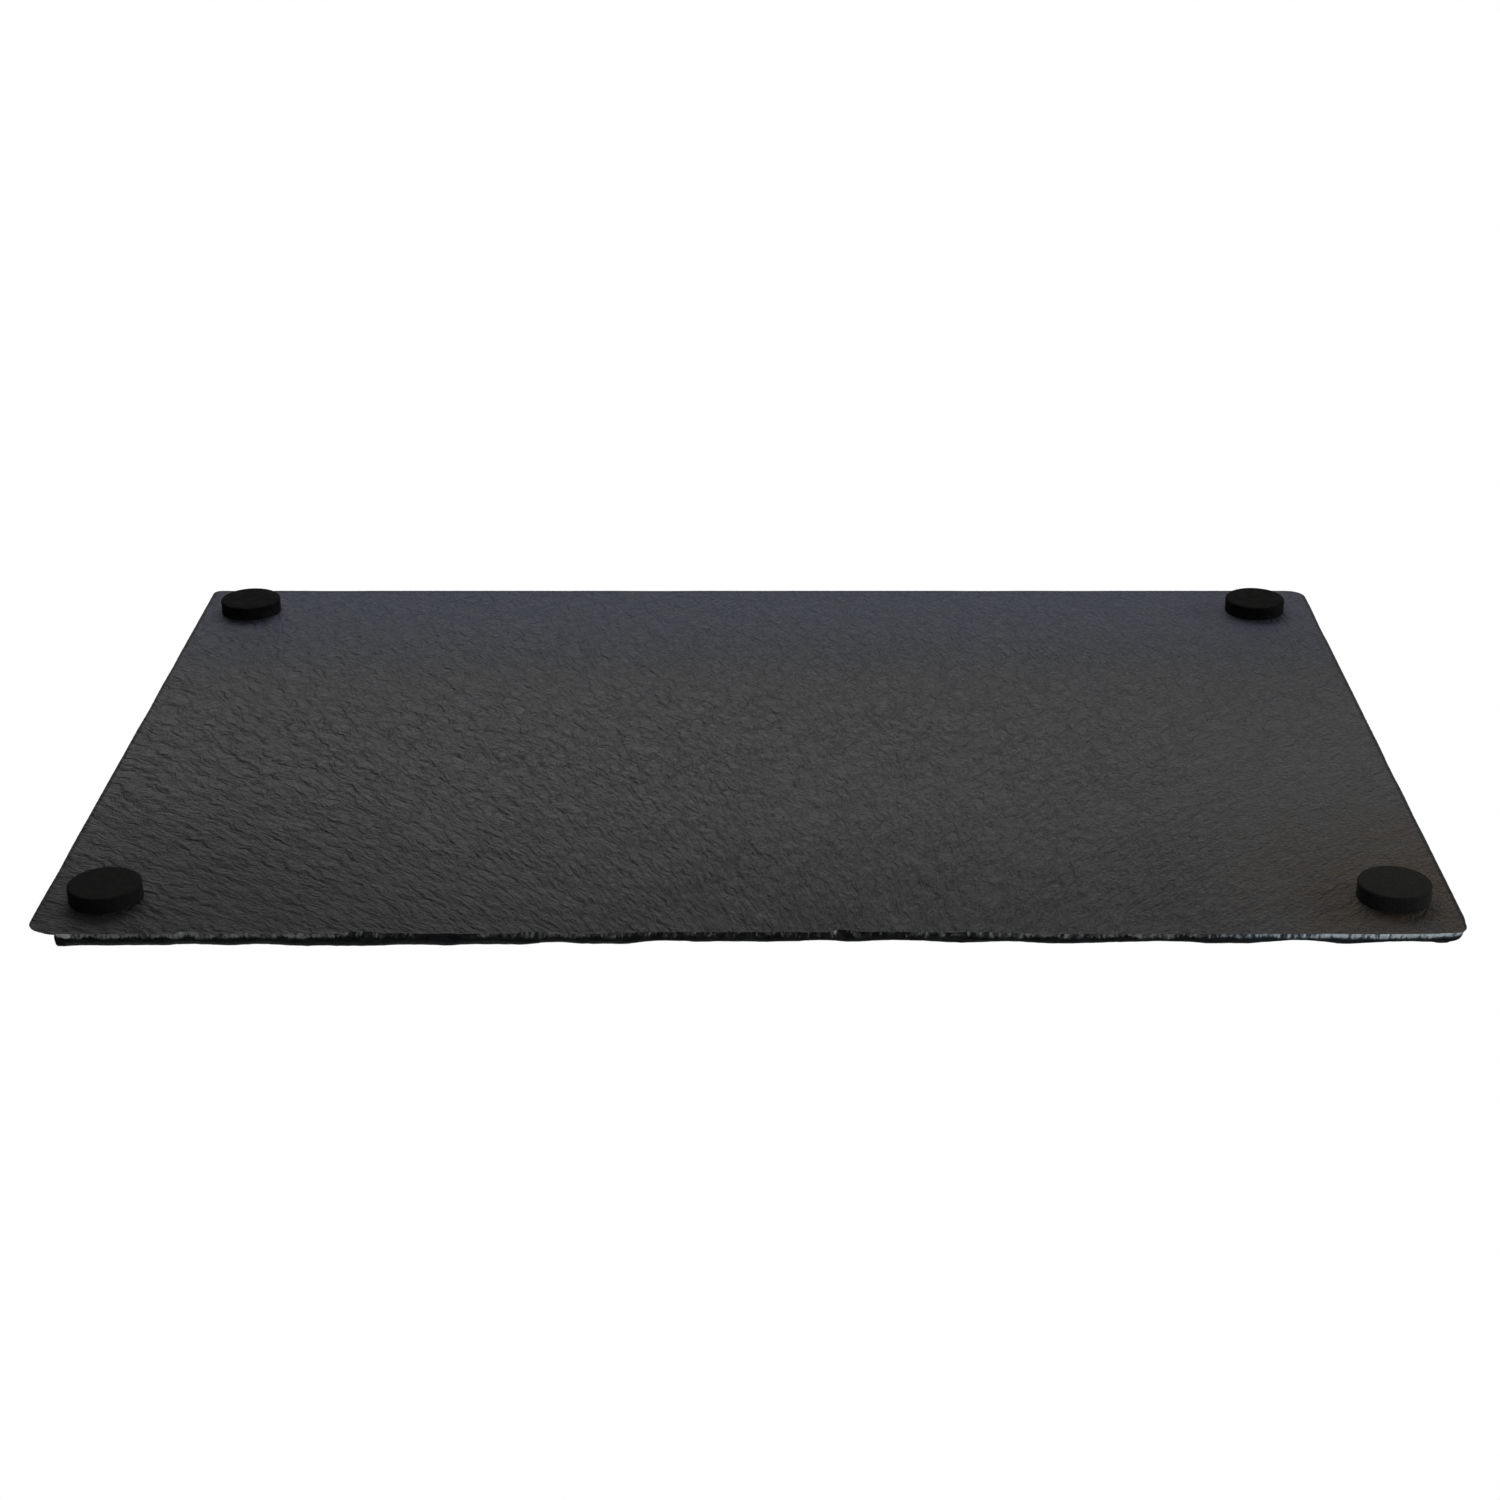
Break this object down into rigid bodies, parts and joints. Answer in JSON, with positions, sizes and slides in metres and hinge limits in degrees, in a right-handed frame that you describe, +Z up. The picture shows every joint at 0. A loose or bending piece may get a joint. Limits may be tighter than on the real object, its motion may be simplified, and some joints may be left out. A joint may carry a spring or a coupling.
{
  "type": "serving board",
  "caption": "Rectangular split-slate serving board with a hand-chipped bevelled edge, standing on round stick-on foam feet at its corners.",
  "frame": {"origin": "On the surface that the feet stand on, midway between the board's ends and midway between its front and back", "axes": "+X along the board's length to the right, +Y to the back, +Z up out of the serving face"},
  "size_m": [0.3, 0.2, 0.0087],
  "materials": {
    "slate": "natural riven slate, matt with a faint sheen",
    "foot_pad": "matt closed-cell foam",
    "adhesive": "tacky double-sided adhesive"
  },
  "bodies": {
    "root": {"slate_board": "slate", "foot_pad_front_left": "foot_pad", "foot_pad_front_right": "foot_pad", "foot_pad_back_left": "foot_pad", "foot_pad_back_right": "foot_pad", "adhesive_disc_front_left": "adhesive", "adhesive_disc_front_right": "adhesive", "adhesive_disc_back_left": "adhesive", "adhesive_disc_back_right": "adhesive"}
  },
  "joints": []
}
